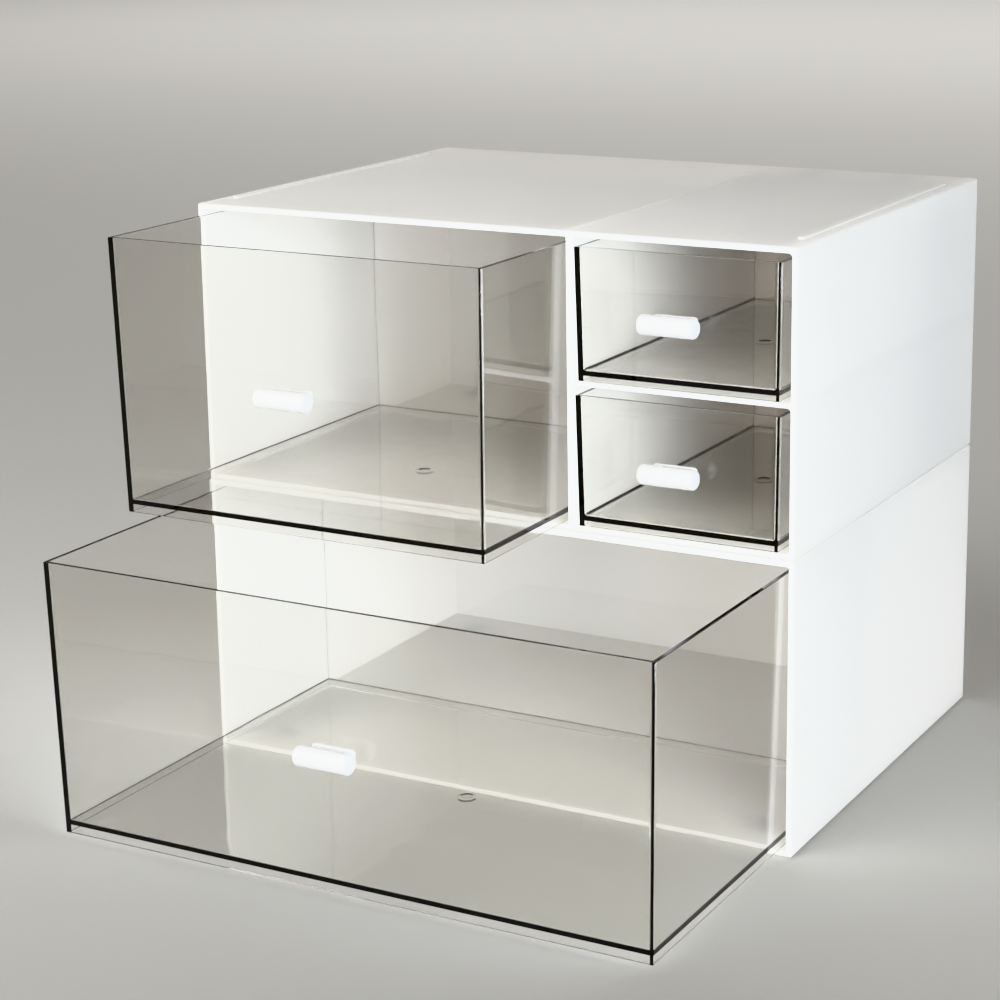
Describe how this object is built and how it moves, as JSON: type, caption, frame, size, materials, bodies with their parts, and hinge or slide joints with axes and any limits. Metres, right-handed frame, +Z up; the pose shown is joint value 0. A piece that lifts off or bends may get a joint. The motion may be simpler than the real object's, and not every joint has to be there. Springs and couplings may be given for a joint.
{
  "type": "stacked desktop drawer box",
  "caption": "Stack of white moulded cases with smoke-tinted clear drawers that slide out on the bay floors, each pulled by a short white bar handle.",
  "frame": {"origin": "on the ground under the middle of the cases, in the plane of the undersides of the lowest pads", "axes": "+Z up, -Y out of the drawer fronts, +X to the right of someone facing the drawers"},
  "size_m": [0.27, 0.325, 0.2405],
  "materials": {
    "white_case": "fine satin moulded white plastic",
    "smoke_drawer": "polished clear plastic with a warm grey smoke tint",
    "white_handle": "semi-gloss white plastic",
    "soft_pad": "matte soft pad"
  },
  "bodies": {
    "lower_body": {"lower_case": "white_case", "lower_pad_front_left": "soft_pad", "lower_pad_front_right": "soft_pad", "lower_pad_back_left": "soft_pad", "lower_pad_back_right": "soft_pad"},
    "upper_body": {"upper_case": "white_case", "upper_pad_front_left": "soft_pad", "upper_pad_front_right": "soft_pad", "upper_pad_back_left": "soft_pad", "upper_pad_back_right": "soft_pad"},
    "wide_tray": {"wide_drawer": "smoke_drawer", "wide_handle": "white_handle"},
    "tall_tray": {"tall_drawer": "smoke_drawer", "tall_handle": "white_handle"},
    "small_top_tray": {"small_top_drawer": "smoke_drawer", "small_top_handle": "white_handle"},
    "small_bottom_tray": {"small_bottom_drawer": "smoke_drawer", "small_bottom_handle": "white_handle"}
  },
  "joints": [
    {"name": "wide_pull", "type": "slide", "parent": "lower_body", "child": "wide_tray", "axis": [0, -1, 0], "range_m": [-0.1125, 0.0375]},
    {"name": "upper_lift", "type": "slide", "parent": "lower_body", "child": "upper_body", "axis": [0, 0, 1], "range_m": [0, 0.03]},
    {"name": "tall_pull", "type": "slide", "parent": "upper_body", "child": "tall_tray", "axis": [0, -1, 0], "range_m": [-0.063, 0.087]},
    {"name": "small_top_pull", "type": "slide", "parent": "upper_body", "child": "small_top_tray", "axis": [0, -1, 0], "range_m": [0, 0.128]},
    {"name": "small_bottom_pull", "type": "slide", "parent": "upper_body", "child": "small_bottom_tray", "axis": [0, -1, 0], "range_m": [0, 0.128]}
  ]
}
